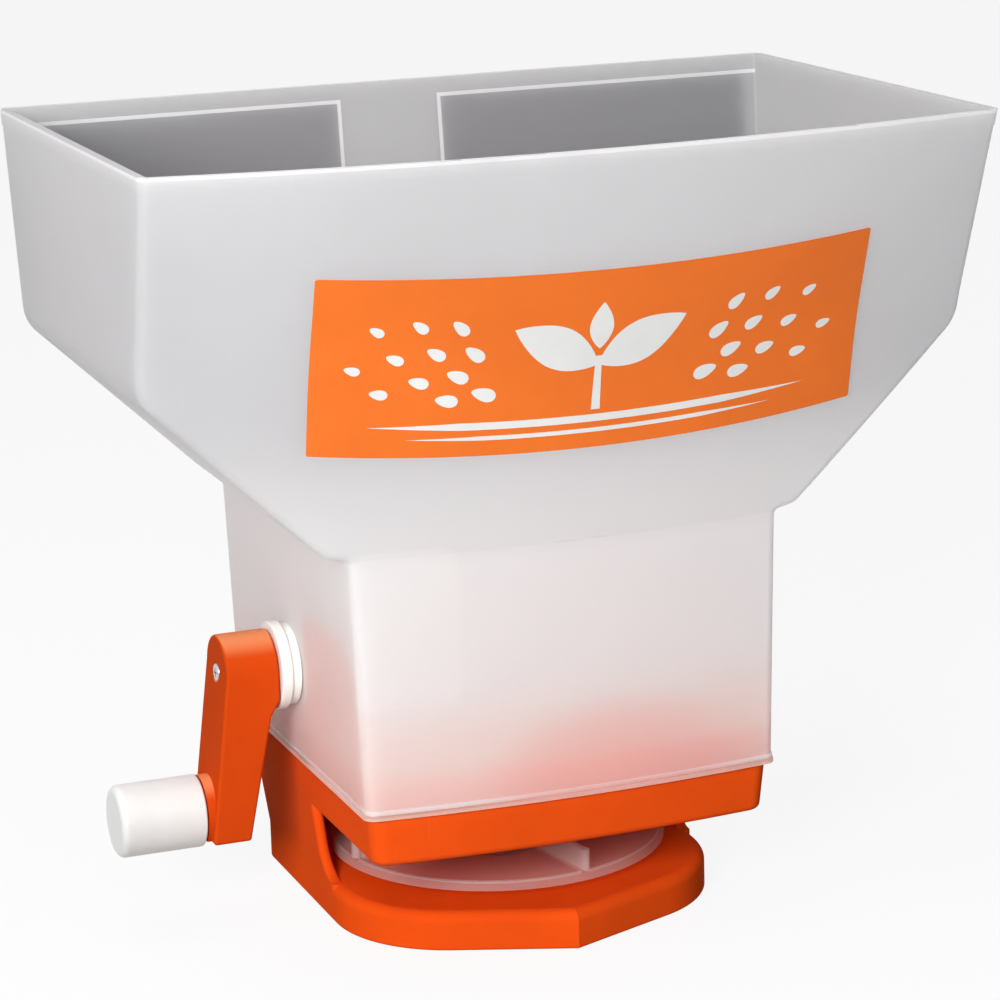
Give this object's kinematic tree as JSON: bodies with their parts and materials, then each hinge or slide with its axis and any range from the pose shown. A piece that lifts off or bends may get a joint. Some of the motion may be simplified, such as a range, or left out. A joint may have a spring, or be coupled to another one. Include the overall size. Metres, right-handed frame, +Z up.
{
  "type": "hand crank garden spreader",
  "caption": "Hand-crank broadcast spreader: translucent funnel hopper on an orange base, side crank with knob geared to a finned spinner disc, sliding flow gate and flat foot.",
  "frame": {"origin": "on the floor at the middle of the foot's underside, below the hopper's middle plane", "axes": "+Z up out of the hopper's mouth, +X to the right with the crank on the left, +Y from the bowed front to the back"},
  "size_m": [0.3006, 0.2136, 0.287],
  "materials": {
    "hopper_plastic": "translucent moulded, satin",
    "decal_print": "printed film",
    "label_print": "printed film",
    "orange_plastic": "moulded, satin",
    "white_plastic": "moulded",
    "knob_plastic": "moulded",
    "disc_plastic": "translucent moulded",
    "gear_plastic": "moulded",
    "zinc_steel": "zinc plated"
  },
  "bodies": {
    "base": {"hopper": "hopper_plastic", "front_decal": "decal_print", "rear_label_left": "label_print", "rear_label_right": "label_print", "base_housing": "orange_plastic", "gear_bridge": "white_plastic", "bridge_screws": "zinc_steel", "gear_housing": "white_plastic", "housing_screws": "zinc_steel", "crank_bushing": "white_plastic", "bushing_nut": "white_plastic", "thrust_washer": "zinc_steel", "upper_bushing": "gear_plastic", "lower_bushing": "gear_plastic", "gate_guide": "white_plastic", "gate_screws": "zinc_steel"},
    "crank": {"crank_shaft": "zinc_steel", "crank_arm": "orange_plastic", "crank_screw": "zinc_steel", "drive_gear": "gear_plastic", "gear_screw": "zinc_steel", "knob_pin": "zinc_steel"},
    "knob": {"crank_knob": "knob_plastic"},
    "spinner": {"spinner_shaft": "zinc_steel", "pinion_gear": "gear_plastic", "agitator": "white_plastic", "spinner_disc": "disc_plastic", "spinner_nut": "zinc_steel"},
    "gate": {"flow_gate": "orange_plastic"}
  },
  "joints": [
    {"name": "crank_turn", "type": "hinge", "parent": "base", "child": "crank", "pos_m": [-0.085, 0.003, 0.0932], "axis": [1, 0, 0], "continuous": true},
    {"name": "knob_spin", "type": "hinge", "parent": "crank", "child": "knob", "pos_m": [-0.13, 0.003, 0.0432], "axis": [1, 0, 0], "continuous": true},
    {"name": "spinner_spin", "type": "hinge", "parent": "base", "child": "spinner", "pos_m": [0, 0.003, 0.04], "axis": [0, 0, 1], "continuous": true},
    {"name": "gate_slide", "type": "slide", "parent": "base", "child": "gate", "axis": [0, 1, 0], "range_m": [0, 0.024]}
  ],
  "couplings": [
    {"joint": "spinner_spin", "follows": "crank_turn", "ratio": -3}
  ]
}
